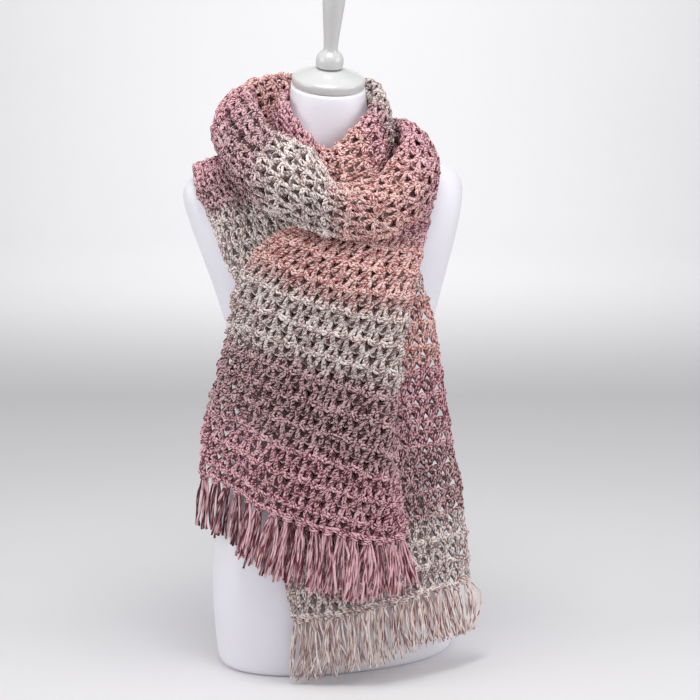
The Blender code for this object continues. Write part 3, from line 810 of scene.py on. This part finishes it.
# --------------------------------------------------------------- the outer loop
# The fat drooping wrap over the first one: a roll of cloth that falls forward, with
# a soft step near the middle of the front. Its wales are given as the inner loop's.
OUTER_STITCHES = 10
OUTER_WAVES = 0.0016
OUTER_SECTIONS = (
    (-180, (0.0740, 0.744), (0.0860, 0.802), (0.0970, 0.767), (0.1000, 0.728), (0.0990, 0.706)),
    (-155, (0.0770, 0.745), (0.0920, 0.803), (0.1080, 0.768), (0.1130, 0.731), (0.1080, 0.716)),
    (-128, (0.0830, 0.740), (0.1020, 0.798), (0.1330, 0.768), (0.1370, 0.728), (0.1240, 0.716)),
    (-105, (0.0920, 0.733), (0.1110, 0.787), (0.1510, 0.755), (0.1510, 0.719), (0.1340, 0.718)),
    (-80, (0.0990, 0.722), (0.1100, 0.768), (0.1590, 0.732), (0.1560, 0.698), (0.1420, 0.704)),
    (-58, (0.1070, 0.709), (0.1170, 0.744), (0.1680, 0.703), (0.1600, 0.659), (0.1460, 0.671)),
    (-38, (0.1110, 0.704), (0.1210, 0.732), (0.1740, 0.692), (0.1660, 0.638), (0.1530, 0.649)),
    (-26, (0.1120, 0.696), (0.1210, 0.721), (0.1750, 0.681), (0.1670, 0.626), (0.1560, 0.637)),
    (-14, (0.1180, 0.657), (0.1240, 0.680), (0.1710, 0.663), (0.1650, 0.616), (0.1560, 0.628)),
    (0, (0.1180, 0.655), (0.1230, 0.676), (0.1680, 0.657), (0.1630, 0.611), (0.1550, 0.625)),
    (14, (0.1180, 0.663), (0.1220, 0.685), (0.1670, 0.664), (0.1620, 0.614), (0.1540, 0.627)),
    (35, (0.1180, 0.688), (0.1230, 0.715), (0.1640, 0.690), (0.1600, 0.637), (0.1500, 0.648)),
    (55, (0.1060, 0.714), (0.1110, 0.742), (0.1500, 0.708), (0.1510, 0.664), (0.1410, 0.674)),
    (75, (0.0970, 0.719), (0.1010, 0.746), (0.1310, 0.725), (0.1450, 0.698), (0.1340, 0.706)),
    (100, (0.0970, 0.715), (0.1020, 0.741), (0.1210, 0.725), (0.1390, 0.704), (0.1400, 0.694)),
    (130, (0.1010, 0.705), (0.1070, 0.742), (0.1240, 0.714), (0.1340, 0.674), (0.1360, 0.642)),
    (155, (0.1070, 0.705), (0.1140, 0.751), (0.1260, 0.710), (0.1270, 0.654), (0.1270, 0.604)),
    (180, (0.1080, 0.706), (0.1160, 0.756), (0.1250, 0.709), (0.1240, 0.649), (0.1240, 0.594)),
)
OUTER_COLOURS = ((-180, 3.0), (-118, 2.9), (-104, 2.1), (-90, 1.6), (-78, 1.1), (-54, 0.9),
                 (-45, 0.1), (-17, 0.0), (-9, -0.9), (20, -1.05), (34, -1.6), (46, -2.0),
                 (64, -2.2), (76, -2.9), (104, -3.1), (118, -3.9), (140, -4.0), (156, -4.9),
                 (180, -5.0))
outer = Cloth(TAIL_WALES, [round_neck(*row) for row in OUTER_SECTIONS], OUTER_STITCHES, OVER_TAIL,
              OUTER_WAVES, seed=14, gathered=True)
outer.dye(OUTER_COLOURS, [row[0] for row in OUTER_SECTIONS])
outer_middle = outer.rows // 2
outer_left = crochet(outer, "outer_loop_left_stitches", 0, outer_middle)
outer_right = crochet(outer, "outer_loop_right_stitches", outer_middle, outer.rows)
outer_net = ground(outer, "outer_loop_net")

# ------------------------------------------------------------------- the fringes
# Seventeen tassels on each hem, nine or ten ends of yarn in each, folded in half and
# drawn through the hem, so that a loop of them bars their neck.
TASSELS = 17
HEM_ROW = -0.10
KNOT = 0.006
SLACK = 4.0
REACHES = (0.86, 1.03)
LAST_REACH = 0.97
BARS = 3
BAR_APART = 0.0028
BAR_HALF = 0.0062
BAR_YARN = 0.0016


def fringe(cloth, wales, ends, name, colours, strands, thick, spread, bow, varied, loop_out,
           seed):
    """The tassels on a hem. Their ends fan out, each with its own bow and lightness,
    and the last tassel may swing out in loops."""
    draw = np.random.default_rng(seed)
    yarn = Yarn()
    shape = (TASSELS, 1)
    u = (np.arange(TASSELS) + 0.5) / TASSELS
    top, out = cloth.at(u * cloth.cells, np.full(TASSELS, HEM_ROW), np.zeros(TASSELS))
    tip = smooth(wales, ends, u)
    down = unit(tip - top)
    along = unit(np.cross(out, down))
    out = np.cross(down, along)
    long = np.linalg.norm(tip - top, axis=1)
    at, dyes, tones = np.array(colours).T
    dye, tone = np.interp(u, at, dyes)[:, None], np.interp(u, at, tones)[:, None]
    swing = draw.normal(0, 0.003, size=shape)
    last = loop_out * (u > 0.94)[:, None]
    t = np.linspace(0, 1, 10)
    fan = 1 - (1 - np.clip(t * 1.5, 0, 1)) ** 2
    for strand in range(strands):
        place = (strand + 0.5) / strands - 0.5 + draw.normal(0, 0.08, size=shape)
        reach = np.where(last, LAST_REACH, draw.uniform(*REACHES, size=shape))
        wide = KNOT + (spread * draw.uniform(0.7, 1.3, size=shape) - KNOT) * fan
        sway = bow * draw.normal(0, 1, size=shape) * np.sin(math.pi * t) * np.clip(t * 3, 0, 1)
        astray = draw.normal(0, 1, size=shape) * 1.6 * bow * t ** 3 + swing * t ** 1.5
        meet = np.where(last, 1 - 0.8 * t ** 4, 1.0)
        sideways = place * wide * meet + sway + astray + last * (0.6 + place) * np.sin(math.pi * t)
        outward = (draw.uniform(-1, 1, size=shape) * (0.0010 + 0.0026 * t)
                   + draw.normal(0, 0.0020, size=shape) * t)
        centres = (top[:, None] + down[:, None] * (long[:, None] * reach * t)[..., None]
                   + along[:, None] * sideways[..., None] + out[:, None] * outward[..., None])
        way = np.broadcast_to(out[:, None], centres.shape)
        yarn.add(centres, way, thick * draw.uniform(0.85, 1.15, size=shape),
                 (dye + draw.normal(0, 0.035, size=shape)) % 1,
                 tone + draw.normal(0, varied, size=shape), draw, SLACK)
    t = np.linspace(-1, 1, 6)
    for bar in range(BARS):
        centres = (top[:, None] + down[:, None] * (0.0006 + BAR_APART * bar)
                   + along[:, None] * (BAR_HALF * t)[None, :, None]
                   + out[:, None] * (0.0046 - 0.0042 * t ** 2)[None, :, None])
        way = np.broadcast_to(out[:, None], centres.shape)
        yarn.add(centres, way, BAR_YARN, dye % 1, draw.normal(0.3, 0.5, size=shape), draw)
    made = yarn.object(name, marled)
    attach(made, "root")
    return made


# Their colours are (place along the hem, colour as a share of the four, lightness).
front_fringe = fringe(front, FRONT_WALES, FRONT_TASSEL_ENDS, "front_fringe",
                      ((0, 0.40, -1.2), (0.22, 0.42, -0.9), (0.30, 0.49, 0.2), (1, 0.51, 0.5)),
                      strands=9, thick=0.00175, spread=0.0185, bow=0.0026, varied=1.4, loop_out=0.0,
                      seed=21)
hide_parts("fringe_front")
under_fringe = fringe(under, TAIL_WALES, UNDER_TASSEL_ENDS, "under_fringe",
                      ((0, -0.05, 0.6), (1, -0.07, 0.9)),
                      strands=10, thick=0.00138, spread=0.0180, bow=0.0040, varied=0.8,
                      loop_out=0.016, seed=22)
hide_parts("fringe_under")

# ------------------------------------------------------------ the hidden stretches
# The imported node of each stretch is hidden, as its net and stitches stand in its place.
for net, node, stitches, slot in (
        (front_net, "tail_front", [front_low, front_high], "yarn_rose"),
        (under_net, "tail_under", [under_low, under_high], "yarn_brown"),
        (inner_net, "loop_inner", [inner_stitches], "yarn_salmon"),
        (outer_net, "loop_outer", [outer_left, outer_right], "yarn_beige")):
    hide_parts(node)
